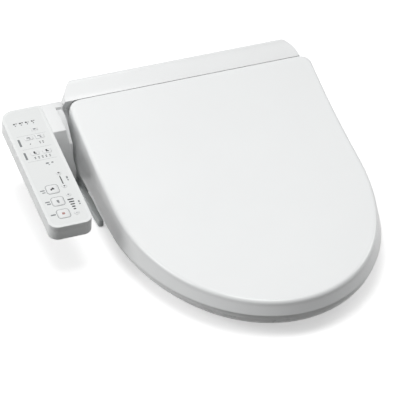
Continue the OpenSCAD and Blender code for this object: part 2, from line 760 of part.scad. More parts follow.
module deodorizer_filter() {
    color(dark_c) difference() {
        translate([duct[0] + 3.3, duct[1], duct[2] + 2.8]) cube([duct_size[0] - 6.6, 8, duct_size[2] - 5.6]);
        for (i = [0:5], j = [0:2]) translate([duct[0] + 6.5 + 8.6*i, duct[1] - 1, duct[2] + 6 + 8*j])
            cube([6, 10, 6]);
    }
}
module fan_rotor() {
    color("black") translate([fan_c[0], fan_c[1], duct[2] + 10]) {
        difference() {
            union() {
                cylinder(h = 16, r = 9);
                cylinder(h = 1.5, r = fan_r - 3);
            }
            translate([0, 0, -1]) cylinder(h = 13, r = 2.05);
        }
        for (i = [0:8]) rotate(40*i) translate([8, -0.7, 0]) cube([fan_r - 8, 1.4, 14]);
    }
}
module fan_motor() {
    color(metal_c) translate([fan_c[0], fan_c[1], duct[2] - 6]) {
        cylinder(h = 14, r = 8);
        cylinder(h = 26, r = 2);
    }
}
module cord_gland() {
    color(dark_c) translate([gland_x, rear_setback - tray_wall - 3, gland_z]) rotate([-90, 0, 0])
        difference() {
            union() {
                cylinder(h = tray_wall + 3, r = 6);
                cylinder(h = 3, r = 9);
            }
            translate([0, 0, -1]) cylinder(h = 8, r = 3.6);
        }
}
gland_x = case_right - 36;
gland_z = 14;

// ---- control panel, drawn flat about its own centre and laid on its slope
panel_x = -case_left - case_flare - arm_len + 8 - panel_w/2;
panel_rear_y = 27;
panel_y = panel_rear_y - panel_l/2*cos(panel_tilt);
panel_r = [14, 14, 3, 22];
cover_t = 9;
sheet_in = 4.5;
sheet_t = 0.4;
wall_p = 2.2;
module on_panel() {
    translate([panel_x, panel_y, panel_h]) rotate([panel_tilt, 0, 0]) children();
}
// a plate with its own radius at each corner: front left, front right, rear right, rear left
module plate(w, l, rs) {
    x = w/2;
    y = l/2;
    polygon([[-x, rs[0] - y], [rs[0] - x, -y], [x - rs[1], -y], [x, rs[1] - y],
        [x, y - rs[2]], [x - rs[2], y], [rs[3] - x, y], [-x, y - rs[3]]]);
    translate([rs[0] - x, rs[0] - y]) circle(rs[0]);
    translate([x - rs[1], rs[1] - y]) circle(rs[1]);
    translate([x - rs[2], y - rs[2]]) circle(rs[2]);
    translate([rs[3] - x, y - rs[3]]) circle(rs[3]);
}
module rounded(w, l, r) {
    plate(w, l, [r, r, r, r]);
}
module panel_plan(d) {
    plate(panel_w - 2*d, panel_l - 2*d, [for (r = panel_r) max(r - d, 0.6)]);
}
// x, y, width, length and corner radius of each button on the panel
big_x = -5.5;
big_y = -51.5;
big_pitch = 26.8;
big = [17, 17, 3.5];
round_x = 13.2;
small = [13, 9, 2.5];
round_d = [7, 7, 3.4];
tiny = [9, 7, 1.8];
buttons = [
    [big_x, big_y - 2*big_pitch, big], [big_x, big_y, big], [big_x, big_y - big_pitch, big],
    [round_x, -68.7, round_d], [round_x, -108.6, round_d],
    [round_x, -20.6, round_d], [round_x, -49.7, round_d],
    [8, 81.5, tiny], [-6, 64.5, small], [11, 64.5, small], [-6.6, 30.8, small], [11.8, 30.8, small]];
module button_holes() {
    for (b = buttons) translate([b[0], b[1]])
        rounded(b[2][0] + 2*button_gap, b[2][1] + 2*button_gap, b[2][2] + button_gap);
}
flange = 1.2;
flange_t = 1.2;
proud = 0.5;
module button(i) {
    b = buttons[i];
    color("white") on_panel() translate([b[0], b[1], 0]) {
        translate([0, 0, -wall_p - 0.9]) linear_extrude(wall_p + 0.9 + proud)
            rounded(b[2][0], b[2][1], b[2][2]);
        translate([0, 0, -wall_p - 0.2 - flange_t]) linear_extrude(flange_t)
            rounded(b[2][0] + 2*flange, b[2][1] + 2*flange, b[2][2] + flange);
    }
}
module stop_button() { button(0); }
module rear_wash_button() { button(1); }
module front_wash_button() { button(2); }
module pressure_up_button() { button(3); }
module pressure_down_button() { button(4); }
module nozzle_forward_button() { button(5); }
module nozzle_back_button() { button(6); }
module power_save_button() { button(7); }
module nozzle_clean_button() { button(8); }
module deodorizer_button() { button(9); }
module water_heat_button() { button(10); }
module seat_heat_button() { button(11); }

module panel_cover() {
    color(lid_c) on_panel() difference() {
        translate([0, 0, -cover_t]) linear_extrude(cover_t) panel_plan(0);
        translate([0, 0, -cover_t - 1]) linear_extrude(cover_t + 1 - wall_p)
            panel_plan(wall_p);
        translate([0, 0, -sheet_t]) linear_extrude(sheet_t + 1)
            panel_plan(sheet_in);
        translate([0, 0, -cover_t]) linear_extrude(cover_t + 1) button_holes();
        for (p = lamps) translate([p[0], p[1], -wall_p - 1]) cylinder(h = wall_p + 2, r = lamp_r + 0.1);
    }
}
module panel_sheet() {
    color("white") on_panel() translate([0, 0, -sheet_t]) linear_extrude(sheet_t) difference() {
        panel_plan(sheet_in);
        button_holes();
        for (p = lamps) translate([p[0], p[1]]) circle(lamp_r + 0.1);
    }
}
lamp_r = 0.9;
lamps = concat(
    [for (i = [0:3]) [-16.5 + 9.2*i, 95.7]],
    [[-7, 51.4], [8, 53], [12.5, 53], [8, 50], [12.5, 50]],
    [for (i = [0:4]) [-9 + 5.6*i, 18.7]],
    [for (i = [0:4]) [round_x, -79 - 5.2*i]]);
module panel_lamps() {
    color("orange") on_panel() for (p = lamps) translate([p[0], p[1], board_w + 1.6])
        cylinder(h = -board_w - 1.6, r = lamp_r);
}
board_w = -8.5;
module panel_board() {
    color(board_c) on_panel() {
        translate([0, 0, board_w]) linear_extrude(1.6) panel_plan(wall_p);
        for (b = buttons) translate([b[0] - 3, b[1] - 3, board_w + 1.6])
            cube([6, 6, -wall_p - 0.2 - flange_t - button_travel - 0.3 - board_w - 1.6]);
    }
}
module panel_base() {
    color(lid_c) on_panel() difference() {
        translate([0, 0, -panel_t]) linear_extrude(panel_t - cover_t) panel_plan(0);
        translate([0, 0, -panel_t + wall_p]) linear_extrude(panel_t)
            panel_plan(wall_p);
        for (y = screw_at) translate([0, y, -panel_t - 1]) cylinder(h = 5, r = 1.6);
    }
}
screw_at = [-100, 0, 100];
module panel_screws() {
    color(metal_c) on_panel() for (y = screw_at) translate([0, y, -panel_t])
        cylinder(h = 12, r = 1.6);
}
arm_front_y = -37;
arm_low = 29;
arm_wall = 3;
arm_hollow_x = 208;
module panel_arm() {
    x0 = panel_x + panel_w/2;
    x1 = -lid_hw - 1.5;
    color(lid_c) difference() {
        union() {
            intersection() {
                // the front face leans away from the lid as it rises
                translate([0, seam_y, 0]) rotate([90, 0, 0]) linear_extrude(seam_y - arm_front_y)
                    polygon([[x0, arm_low], [x1, arm_low], [x1, 46], [-lid_hw - 15, 122], [-lid_hw - 18, 160], [x0, 160]]);
                on_panel() translate([-200, -200, -300]) cube([400, 400, 300]);
            }
            intersection() {
                translate([x0, seam_y, arm_low])
                    cube([-case_left - case_flare - x0, panel_rear_y - seam_y, 200]);
                on_panel() translate([-200, -200, -300]) cube([400, 400, 300]);
            }
        }
        translate([x0 + arm_wall, arm_front_y + arm_wall, arm_low - 1])
            cube([-arm_hollow_x - x0 - arm_wall, panel_rear_y - arm_front_y - 2*arm_wall, 50]);
    }
}

mounting_bracket();
base_tray();
rear_case();
nozzle_housing();
release_button();
release_latch();
water_inlet();
inlet_valve();
water_tank();
tank_heater();
float_switch();
water_hoses();
nozzle_guide();
nozzle_arm();
nozzle_tip();
nozzle_motor();
drive_pinion();
power_board();
board_components();
transformer();
deodorizer_duct();
deodorizer_filter();
fan_rotor();
fan_motor();
hinge_pins();
seat_damper();
lid_damper();
case_screws();
tray_feet();
lid_shell();
lid_hinge_lugs();
lid_bumpers();
seat_top();
seat_base();
seat_heater();
seat_hinge_lugs();
seat_bumpers();
panel_arm();
panel_base();
panel_cover();
panel_sheet();
panel_board();
panel_lamps();
panel_screws();
stop_button();
rear_wash_button();
front_wash_button();
pressure_up_button();
pressure_down_button();
nozzle_forward_button();
nozzle_back_button();
power_save_button();
nozzle_clean_button();
deodorizer_button();
water_heat_button();
seat_heat_button();
cord_gland();
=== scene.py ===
import bpy
import bmesh
import json
import math
from mathutils import Matrix, Vector


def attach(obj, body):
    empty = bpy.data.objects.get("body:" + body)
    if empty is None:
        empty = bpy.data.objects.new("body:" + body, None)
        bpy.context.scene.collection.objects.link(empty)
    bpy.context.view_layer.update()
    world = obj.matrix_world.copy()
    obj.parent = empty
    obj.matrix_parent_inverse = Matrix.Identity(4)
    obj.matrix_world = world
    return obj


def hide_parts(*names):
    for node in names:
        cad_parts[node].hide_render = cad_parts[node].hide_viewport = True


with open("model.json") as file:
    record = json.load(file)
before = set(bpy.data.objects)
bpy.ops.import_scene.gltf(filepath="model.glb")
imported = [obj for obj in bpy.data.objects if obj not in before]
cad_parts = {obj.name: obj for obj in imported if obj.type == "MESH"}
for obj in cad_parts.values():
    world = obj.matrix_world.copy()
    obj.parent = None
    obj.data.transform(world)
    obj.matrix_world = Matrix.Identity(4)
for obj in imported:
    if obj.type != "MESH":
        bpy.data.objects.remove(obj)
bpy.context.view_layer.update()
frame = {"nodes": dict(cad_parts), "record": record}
mm = 0.001


# camera, floor and light
view = {
    "place": (-1243.1, -3583.1, 2566.0),
    "turn": -20.214,
    "rise": 34.86,
    "aim": (-41.007, -2.972),
    "focal": 3000.0,
    "lens": 270.0,
    "sensor": 36,
    "clipEnd": 30,
}


def addCamera():
    turn, rise = math.radians(view["turn"]), math.radians(view["rise"])
    back = Vector((
        math.sin(turn) * math.cos(rise),
        -math.cos(turn) * math.cos(rise),
        math.sin(rise),
    ))
    right = Vector((math.cos(turn), math.sin(turn), 0))
    up = back.cross(right)
    sideways, upward = view["aim"]
    look = -back + right * sideways / view["focal"] + up * upward / view["focal"]
    look.normalize()
    across = (right - look * right.dot(look)).normalized()
    over = (-look).cross(across)
    camData = bpy.data.cameras.new("camera")
    camData.lens = view["lens"]
    camData.sensor_width = view["sensor"]
    camData.clip_end = view["clipEnd"]
    cam = bpy.data.objects.new("camera", camData)
    place = Matrix((across, over, -look)).transposed().to_4x4()
    place.translation = Vector(view["place"]) * mm
    cam.matrix_world = place
    bpy.context.scene.collection.objects.link(cam)
    bpy.context.scene.camera = cam


studio = {
    "left": {"place": (-2.4, 0.2, 1.5), "size": 1.5, "power": 30},
    "right": {"place": (2.4, 0.5, 1.5), "size": 1.5, "power": 18},
    "top": {"place": (-0.3, -0.35, 3.0), "size": 1.8, "power": 37},
    "lampAim": (0, -0.2, 0.05),
    "skyAbove": 0.5,
    "skyBelow": 0.06,
    "skySpan": (-0.2, 1.0),
    "floor": (0.8, 0.8, 0.8),
    "floorGlow": 0.48,
    "floorRough": 0.9,
    "floorSize": 12,
    "floorDrop": -0.0005,
}


def addLamp(name, place, size, power):
    lampData = bpy.data.lights.new(name, "AREA")
    lampData.shape = "DISK"
    lampData.size = size
    lampData.energy = power
    lamp = bpy.data.objects.new(name, lampData)
    lamp.location = place
    towards = Vector(studio["lampAim"]) - Vector(place)
    lamp.rotation_euler = towards.to_track_quat("-Z", "Y").to_euler()
    bpy.context.scene.collection.objects.link(lamp)


def addStudio():
    for name in ("left", "right", "top"):
        lamp = studio[name]
        addLamp(name + "Lamp", lamp["place"], lamp["size"], lamp["power"])
    world = bpy.data.worlds.new("sky")
    world.use_nodes = True
    nodes, links = world.node_tree.nodes, world.node_tree.links
    coords = nodes.new("ShaderNodeTexCoord")
    split = nodes.new("ShaderNodeSeparateXYZ")
    blend = nodes.new("ShaderNodeMapRange")
    blend.inputs["From Min"].default_value = studio["skySpan"][0]
    blend.inputs["From Max"].default_value = studio["skySpan"][1]
    blend.inputs["To Min"].default_value = studio["skyBelow"]
    blend.inputs["To Max"].default_value = studio["skyAbove"]
    links.new(coords.outputs["Generated"], split.inputs["Vector"])
    links.new(split.outputs["Z"], blend.inputs["Value"])
    links.new(blend.outputs["Result"], nodes["Background"].inputs["Strength"])
    nodes["Background"].inputs["Color"].default_value = (1, 1, 1, 1)
    bpy.context.scene.world = world
    bpy.context.scene.view_settings.view_transform = "Standard"
    bm = bmesh.new()
    bmesh.ops.create_grid(bm, x_segments=1, y_segments=1, size=studio["floorSize"])
    floor = makeObject("floor", bm)
    floor.location = (0, 0, studio["floorDrop"])
    floor.visible_diffuse = False
    floorFinish = bpy.data.materials.new("paleFloor")
    floorFinish.use_nodes = True
    shader = floorFinish.node_tree.nodes["Principled BSDF"]
    shader.inputs["Base Color"].default_value = (*studio["floor"], 1)
    shader.inputs["Roughness"].default_value = studio["floorRough"]
    shader.inputs["Emission Color"].default_value = (1, 1, 1, 1)
    shader.inputs["Emission Strength"].default_value = studio["floorGlow"]
    floor.data.materials.append(floorFinish)


# mesh helpers
def makeObject(name, bm):
    mesh = bpy.data.meshes.new(name)
    bm.to_mesh(mesh)
    bm.free()
    obj = bpy.data.objects.new(name, mesh)
    bpy.context.scene.collection.objects.link(obj)
    return obj


def settle(obj, angle=32):
    # Applies the piece's modifiers, then shades it smooth up to the angle
    bpy.context.view_layer.update()
    graph = bpy.context.evaluated_depsgraph_get()
    mesh = bpy.data.meshes.new_from_object(obj.evaluated_get(graph))
    obj.modifiers.clear()
    obj.data = mesh
    mesh.shade_smooth()
    mesh.set_sharp_from_angle(angle=math.radians(angle))
    return obj


def addBevel(obj, width, segments=3, angle=30):
    bevel = obj.modifiers.new("edges", "BEVEL")
    bevel.width = width * mm
    bevel.segments = segments
    bevel.limit_method = "ANGLE"
    bevel.angle_limit = math.radians(angle)
    bevel.use_clamp_overlap = True


def addSolidify(obj, thickness):
    wall = obj.modifiers.new("wall", "SOLIDIFY")
    wall.thickness = thickness * mm
    wall.offset = -1
    wall.use_even_offset = True


def skin(bm, rows, closed):
    # Joins rows of vertices into quads
    for a, b in zip(rows, rows[1:]):
        count = len(a)
        for i in range(count if closed else count - 1):
            bm.faces.new((a[i], a[(i + 1) % count], b[(i + 1) % count], b[i]))


def softened(node, width, segments=3, shape=None):
    # A copy of a CAD node with its hard edges rounded off
    source = frame["nodes"][node]
    bm = bmesh.new()
    bm.from_mesh(source.data)
    bm.transform(source.matrix_world)
    bmesh.ops.remove_doubles(bm, verts=bm.verts, dist=2e-6)
    bmesh.ops.dissolve_limit(bm, angle_limit=math.radians(0.3), verts=bm.verts, edges=bm.edges)
    piece = makeObject(node + "Soft", bm)
    if shape:
        shape(piece)
    addBevel(piece, width, segments)
    settle(piece)
    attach(piece, bodyOf(node))
    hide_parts(node)
    return piece


def bodyOf(node):
    for body, nodes in frame["record"]["behaviour"]["bodies"].items():
        if node in nodes:
            return body


# finishes
finishes = {
    "lidWhite": {"color": (0.86, 0.872, 0.872), "rough": 0.3, "peel": 0.004, "grain": 420, "coat": 0.1},
    "caseWhite": {"color": (0.84, 0.85, 0.85), "rough": 0.34, "peel": 0.03, "grain": 1100, "coat": 0.15},
    "panelWhite": {"color": (0.81, 0.825, 0.82), "rough": 0.36, "peel": 0.03, "grain": 1100, "coat": 0.1},
    "filmWhite": {"color": (0.77, 0.785, 0.78), "rough": 0.45, "peel": 0.05, "grain": 2600, "coat": 0.0},
    "keyWhite": {"color": (0.78, 0.79, 0.79), "rough": 0.42, "peel": 0.04, "grain": 2200, "coat": 0.0},
    "trayGrey": {"color": (0.60, 0.625, 0.625), "rough": 0.5, "peel": 0.08, "grain": 1500, "coat": 0.0},
    "seatWhite": {"color": (0.80, 0.81, 0.805), "rough": 0.28, "peel": 0.02, "grain": 900, "coat": 0.25},
    "nozzleWhite": {"color": (0.80, 0.80, 0.78), "rough": 0.3, "peel": 0.03, "grain": 1500, "coat": 0.1},
    "rubberGrey": {"color": (0.30, 0.31, 0.32), "rough": 0.7, "peel": 0.12, "grain": 1800, "coat": 0.0},
    "darkPlastic": {"color": (0.035, 0.037, 0.04), "rough": 0.5, "peel": 0.1, "grain": 1800, "coat": 0.0},
    "boardGreen": {"color": (0.02, 0.13, 0.06), "rough": 0.4, "peel": 0.08, "grain": 900, "coat": 0.2},
    "tankClear": {"color": (0.68, 0.72, 0.74), "rough": 0.3, "peel": 0.05, "grain": 700, "coat": 0.1},
    "foil": {"color": (0.45, 0.32, 0.12), "rough": 0.35, "peel": 0.1, "grain": 700, "coat": 0.0},
    "inkDark": {"color": (0.045, 0.048, 0.05), "rough": 0.5, "peel": 0.05, "grain": 3000, "coat": 0.0},
    "inkGrey": {"color": (0.22, 0.235, 0.24), "rough": 0.5, "peel": 0.05, "grain": 3000, "coat": 0.0},
    "inkPale": {"color": (0.52, 0.53, 0.535), "rough": 0.5, "peel": 0.05, "grain": 3000, "coat": 0.0},
    "inkRed": {"color": (0.42, 0.22, 0.20), "rough": 0.5, "peel": 0.05, "grain": 3000, "coat": 0.0},
}
metals = {
    "steel": {"color": (0.62, 0.63, 0.64), "rough": 0.32, "grain": 600},
    "brass": {"color": (0.62, 0.60, 0.55), "rough": 0.28, "grain": 500},
}
made = {}


def finish(name):
    if name not in made:
        if name in metals:
            made[name] = metalFinish(name, metals[name])
        else:
            made[name] = plasticFinish(name, finishes[name])
    return made[name]


def startFinish(name):
    material = bpy.data.materials.new(name)
    material.use_nodes = True
    nodes, links = material.node_tree.nodes, material.node_tree.links
    coords = nodes.new("ShaderNodeTexCoord")
    return material, nodes, links, nodes["Principled BSDF"], coords.outputs["Object"]


def noiseOn(nodes, links, coords, scale, detail):
    noise = nodes.new("ShaderNodeTexNoise")
    noise.inputs["Scale"].default_value = scale
    noise.inputs["Detail"].default_value = detail
    links.new(coords, noise.inputs["Vector"])
    return noise.outputs["Fac"]


def spread(nodes, links, fac, low, high):
    span = nodes.new("ShaderNodeMapRange")
    span.inputs["From Min"].default_value = 0.3
    span.inputs["From Max"].default_value = 0.7
    span.inputs["To Min"].default_value = low
    span.inputs["To Max"].default_value = high
    links.new(fac, span.inputs["Value"])
    return span.outputs["Result"]


def plasticFinish(name, look):
    # Moulded plastic: faint cloudiness, handling marks in the gloss and a fine orange peel
    material, nodes, links, shader, coords = startFinish(name)
    cloud = noiseOn(nodes, links, coords, 9, 4)
    tone = nodes.new("ShaderNodeMix")
    tone.data_type = "RGBA"
    links.new(spread(nodes, links, cloud, 0, 1), tone.inputs[0])
    tone.inputs[6].default_value = (*[c * 0.985 for c in look["color"]], 1)
    tone.inputs[7].default_value = (*look["color"], 1)
    links.new(tone.outputs[2], shader.inputs["Base Color"])
    marks = noiseOn(nodes, links, coords, 38, 6)
    gloss = spread(nodes, links, marks, look["rough"] * 0.93, look["rough"] * 1.08)
    links.new(gloss, shader.inputs["Roughness"])
    peel = noiseOn(nodes, links, coords, look["grain"], 3)
    bump = nodes.new("ShaderNodeBump")
    bump.inputs["Strength"].default_value = look["peel"] * 4
    bump.inputs["Distance"].default_value = 0.00015
    links.new(peel, bump.inputs["Height"])
    links.new(bump.outputs["Normal"], shader.inputs["Normal"])
    shader.inputs["Coat Weight"].default_value = look["coat"]
    shader.inputs["Coat Roughness"].default_value = 0.12
    shader.inputs["IOR"].default_value = 1.49
    return material


def metalFinish(name, look):
    # Plain worked metal with fine scratches along X
    material, nodes, links, shader, coords = startFinish(name)
    stretch = nodes.new("ShaderNodeMapping")
    stretch.inputs["Scale"].default_value = (0.06, 1, 1)
    links.new(coords, stretch.inputs["Vector"])
    lines = noiseOn(nodes, links, stretch.outputs["Vector"], look["grain"], 5)
    tone = nodes.new("ShaderNodeMix")
    tone.data_type = "RGBA"
    links.new(lines, tone.inputs[0])
    tone.inputs[6].default_value = (*[c * 0.85 for c in look["color"]], 1)
    tone.inputs[7].default_value = (*look["color"], 1)
    links.new(tone.outputs[2], shader.inputs["Base Color"])
    gloss = spread(nodes, links, lines, look["rough"] * 0.8, look["rough"] * 1.3)
    links.new(gloss, shader.inputs["Roughness"])
    bump = nodes.new("ShaderNodeBump")
    bump.inputs["Strength"].default_value = 0.2
    bump.inputs["Distance"].default_value = 0.0001
    links.new(lines, bump.inputs["Height"])
    links.new(bump.outputs["Normal"], shader.inputs["Normal"])
    shader.inputs["Metallic"].default_value = 1.0
    return material


def paint(obj, name):
    obj.data.materials.clear()
    obj.data.materials.append(finish(name))
    return obj


# the lid
lid = {
    "halfWidth": 197.0,
    "nose": -472.0,
    "noseLength": 279.0,
    "seam": 14.5,
    "noseHeight": 57.5,
    "slope": 10.5,
    "curve": 66.5,
    "power": 2.6,
    "edgeHeight": 36.5,
    "edgeRise": 18.0,
    "lean": 5.0,
    "edgeRadius": 7.0,
    "cornerRadius": 13.0,
    "cornerSteps": 8,
    "cornerLeast": 0.3,
    "cornerStart": 103,
    "cornerGrowth": 22,
    "wall": 3.0,
    "brimWidth": 0.7,
    "noseSteps": 72,
    "sideSteps": 40,
    "skirtSteps": 8,
    "roundSteps": 7,
}
hinge = {"y": -6.0, "z": 116.0, "reach": 27.2, "stepBelow": -3, "stepIn": 0.8, "gap": 0.05}


def along(y):
    return max(0.0, (y - lid["nose"]) / (lid["seam"] - lid["nose"]))


def lidTop(y):
    return lid["noseHeight"] + lid["slope"] * along(y) + lid["curve"] * along(y) ** lid["power"]


def skirtEdge(y):
    return lid["edgeHeight"] + lid["edgeRise"] * along(y) ** 6


def lidEnd(z):
    # How far back the lid reaches at a height: a round end about the hinge, then a step in
    drop = z - hinge["z"]
    if drop < hinge["stepBelow"]:
        return lid["seam"] - hinge["stepIn"]
    return hinge["y"] + math.sqrt(max(0.0, hinge["reach"] ** 2 - max(drop, 0) ** 2)) - hinge["gap"]


def lidRow(bm, inset, heightAt):
    # One level of the lid, from its right rear end round the nose to its left rear end
    middle = lid["nose"] + lid["noseLength"]
    wide = lid["halfWidth"] - inset
    end = lid["seam"]
    for _ in range(4):
        end = lidEnd(heightAt(end))
    half = []
    for i in range(lid["noseSteps"] + 1):
        a = math.radians(90 * i / lid["noseSteps"])
        half.append((wide * math.sin(a), middle - (lid["noseLength"] - inset) * math.cos(a)))
    growth = ease((heightAt(end) - lid["cornerStart"]) / lid["cornerGrowth"])
    corner = lid["cornerLeast"] + lid["cornerRadius"] * growth
    for i in range(1, lid["sideSteps"] + 1):
        half.append((wide, middle + (end - corner - middle) * i / lid["sideSteps"]))
    for i in range(1, lid["cornerSteps"] + 1):
        a = math.radians(90 * i / lid["cornerSteps"])
        half.append((wide - corner * (1 - math.cos(a)), end - corner * (1 - math.sin(a))))
    points = half[::-1] + [(-x, y) for x, y in half[1:]]
    return [bm.verts.new((x * mm, y * mm, heightAt(y) * mm)) for x, y in points]


def makeLid():
    bm = bmesh.new()
    rows = []
    for i in range(lid["skirtSteps"] + 1):
        f = i / lid["skirtSteps"]
        rows.append(lidRow(
            bm, lid["lean"] * f,
            lambda y, f=f: skirtEdge(y) * (1 - f) + (lidTop(y) - lid["edgeRadius"]) * f))
    for i in range(1, lid["roundSteps"] + 1):
        a = math.radians(90 * i / lid["roundSteps"])
        rows.append(lidRow(
            bm, lid["lean"] + lid["edgeRadius"] * (1 - math.cos(a)),
            lambda y, a=a: lidTop(y) - lid["edgeRadius"] * (1 - math.sin(a))))
    skin(bm, rows, False)
    top = rows[-1]
    last = len(top) - 1
    for i in range(last // 2 - 1):
        bm.faces.new((top[i], top[last - i], top[last - i - 1], top[i + 1]))
    tip = last // 2
    bm.faces.new((top[tip - 1], top[tip + 1], top[tip]))
    bmesh.ops.recalc_face_normals(bm, faces=bm.faces)
    bm.faces.ensure_lookup_table()
    highest = max(bm.faces, key=lambda f: f.calc_area() if abs(f.normal.z) > 0.9 else 0)
    if highest.normal.z < 0:
        bmesh.ops.reverse_faces(bm, faces=bm.faces)
    shell = makeObject("lidShell", bm)
    addSolidify(shell, lid["wall"])
    addBevel(shell, lid["brimWidth"], 2, 50)
    settle(shell, 40)
    paint(shell, "lidWhite")
    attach(shell, "lid")
    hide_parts("lid_shell")


# the seat
seat = {
    "inset": 2.5,
    "backY": -40.0,
    "holeMiddle": -267.0,
    "holeHalf": (103.0, 137.0),
    "face": 50.0,
    "rim": 29.0,
    "under": 11.0,
    "rise": 46.0,
    "riseStart": -150.0,
    "outerRound": 2,
    "backRound": 6,
    "holeRound": 2.3,
    "rimRise": 8,
    "underRise": 22,
    "edgeLift": {0.1: 10, 1.0: 5},
    "profile": [(0.1, 14), (0.12, 5), (0.17, 2), (0.26, 0.5), (0.42, 0),
                (0.62, 0.6), (0.8, 2.4), (0.94, 6.5), (1.0, 13)],
    "turns": 180,
}


def polar(a, hx, hy, n):
    return (abs(math.cos(a) / hx) ** n + abs(math.sin(a) / hy) ** n) ** (-1 / n)


def ease(v):
    t = min(max(v, 0.0), 1.0)
    return t * t * (3 - 2 * t)


def seatPoint(a, share, z, back=None):
    middle = lid["nose"] + lid["noseLength"]
    wide = lid["halfWidth"] - seat["inset"]
    if math.sin(a) < 0:
        r = polar(a, wide, lid["noseLength"] - seat["inset"], seat["outerRound"])
    else:
        r = polar(a, wide, seat["backY"] - middle, seat["backRound"])
    hole = polar(a, *seat["holeHalf"], seat["holeRound"])
    outer = Vector((r * math.cos(a), middle + r * math.sin(a)))
    inner = Vector((hole * math.cos(a), seat["holeMiddle"] + hole * math.sin(a)))
    p = outer.lerp(inner, share)
    climb = (p.y - seat["riseStart"]) / (seat["backY"] - seat["riseStart"])
    lift = seat["rise"] * max(0.0, climb) ** 2
    return Vector((p.x, p.y, z + lift * (1 if back is None else back))) * mm


def smoothProfile(points, steps):
    # Catmull-Rom through the profile's points
    out = []
    for i in range(len(points) - 1):
        p0, p1 = points[max(i - 1, 0)], points[i]
        p2, p3 = points[i + 1], points[min(i + 2, len(points) - 1)]
        for k in range(steps):
            t = k / steps
            out.append(tuple(
                0.5 * (2 * b + (c - a) * t + (2 * a - 5 * b + 4 * c - d) * t * t
                       + (3 * b - a - 3 * c + d) * t ** 3)
                for a, b, c, d in zip(p0, p1, p2, p3)))
    return out + [points[-1]]


def makeSeat():
    topRows, underRows = bmesh.new(), bmesh.new()
    upper, lower = [], []
    for i in range(seat["turns"]):
        a = 2 * math.pi * i / seat["turns"]
        back = ease((math.sin(a) - 0.55) / 0.3)
        joint = seat["rim"] + seat["rimRise"] * back
        under = seat["under"] + seat["underRise"] * back
        knots = [(s, seat["face"] - d + seat["edgeLift"].get(s, 0) * back)
                 for s, d in seat["profile"]]
        loop = [seatPoint(a, s, z, back)
                for s, z in ((0, joint), (0, joint + 6), (0.012, joint + 6.5))]
        loop += [seatPoint(a, s, z) for s, z in [knots[0]] + smoothProfile(knots[1:], 4)]
        loop += [seatPoint(a, 1, joint, back)]
        upper.append([topRows.verts.new(p) for p in loop])
        belly = smoothProfile([
            (0, joint), (0.07, joint - 8), (0.26, under), (0.6, under),
            (0.9, under), (0.97, under + 3), (1, joint)], 3)
        lower.append([underRows.verts.new(seatPoint(a, s, z, back)) for s, z in belly])
    for bm, rows in ((topRows, upper), (underRows, lower)):
        skin(bm, rows + rows[:1], True)
        bmesh.ops.recalc_face_normals(bm, faces=bm.faces)
    ring = settle(makeObject("seatRing", topRows), 38)
    base = settle(makeObject("seatUnderside", underRows), 38)
    for piece, node in ((ring, "seat_top"), (base, "seat_base")):
        paint(piece, "seatWhite")
        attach(piece, "seat")
        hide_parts(node)


# case, tray and the arm that carries the panel
softEdges = {
    "rear_case": ("caseWhite", 1.4),
    "nozzle_housing": ("caseWhite", 1.5),
    "base_tray": ("trayGrey", 0.8),
    "release_button": ("caseWhite", 0.6),
    "mounting_bracket": ("steel", 0.4),
    "panel_arm": ("caseWhite", 3.0),
    "panel_base": ("panelWhite", 2.2),
    "panel_cover": ("panelWhite", 1.1),
    "seat_hinge_lugs": ("seatWhite", 1.2),
    "lid_hinge_lugs": ("lidWhite", 0.8),
    "seat_bumpers": ("rubberGrey", 0.8),
    "nozzle_tip": ("nozzleWhite", 0.2),
    "water_tank": ("tankClear", 1.5),
    "inlet_valve": ("trayGrey", 1.0),
    "transformer": ("darkPlastic", 1.5),
    "deodorizer_duct": ("trayGrey", 0.8),
}


stripEnds = {
    "shoulder": 111.5,
    "top": 147.5,
    "above": 42,
    "below": -5,
    "front": -90,
    "slack": 0.03,
    "left": (201.0, 193.0),
    "right": (182.0, 174.0),
    "rear": 53.0,
    "low": (24.0, 24.0),
    "high": (25.0, 37.0),
    "levels": 14,
    "steps": 14,
}


def caseOutline(z):
    # The case's outline at a height, its rear corners widening towards the top
    t = (z - stripEnds["shoulder"]) / (stripEnds["top"] - stripEnds["shoulder"])
    t = min(max(t, -0.2), 1.2)
    left, right = (a + (b - a) * max(t, 0) + stripEnds["slack"]
                   for a, b in (stripEnds["left"], stripEnds["right"]))
    rx, ry = (a + (b - a) * ease(t) for a, b in zip(stripEnds["low"], stripEnds["high"]))
    rear = stripEnds["rear"] + stripEnds["slack"]
    points = [(right, stripEnds["front"])]
    for i in range(stripEnds["steps"] + 1):
        a = math.radians(90 * i / stripEnds["steps"])
        points.append((right - rx + rx * math.cos(a), rear - ry + ry * math.sin(a)))
    for i in range(stripEnds["steps"] + 1):
        a = math.radians(90 + 90 * i / stripEnds["steps"])
        points.append((-left + rx + rx * math.cos(a), rear - ry + ry * math.sin(a)))
    return points + [(-left, stripEnds["front"])]


def roundStripEnds(piece):
    bm = bmesh.new()
    heights = [stripEnds["below"], stripEnds["shoulder"]]
    heights += [stripEnds["shoulder"] + stripEnds["above"] * (i + 1) / stripEnds["levels"]
                for i in range(stripEnds["levels"])]
    rows = [[bm.verts.new((x * mm, y * mm, z * mm)) for x, y in caseOutline(z)]
            for z in heights]
    skin(bm, rows, True)
    bm.faces.new(rows[0])
    bm.faces.new(rows[-1])
    bmesh.ops.recalc_face_normals(bm, faces=bm.faces)
    keep = makeObject("stripEnvelope", bm)
    cut = piece.modifiers.new("stripEnds", "BOOLEAN")
    cut.operation = "INTERSECT"
    cut.solver = "EXACT"
    cut.object = keep
    settle(piece)
    bpy.data.objects.remove(keep)


def makeShells():
    for node, (look, width) in softEdges.items():
        shape = roundStripEnds if node == "rear_case" else None
        paint(softened(node, width, shape=shape), look)


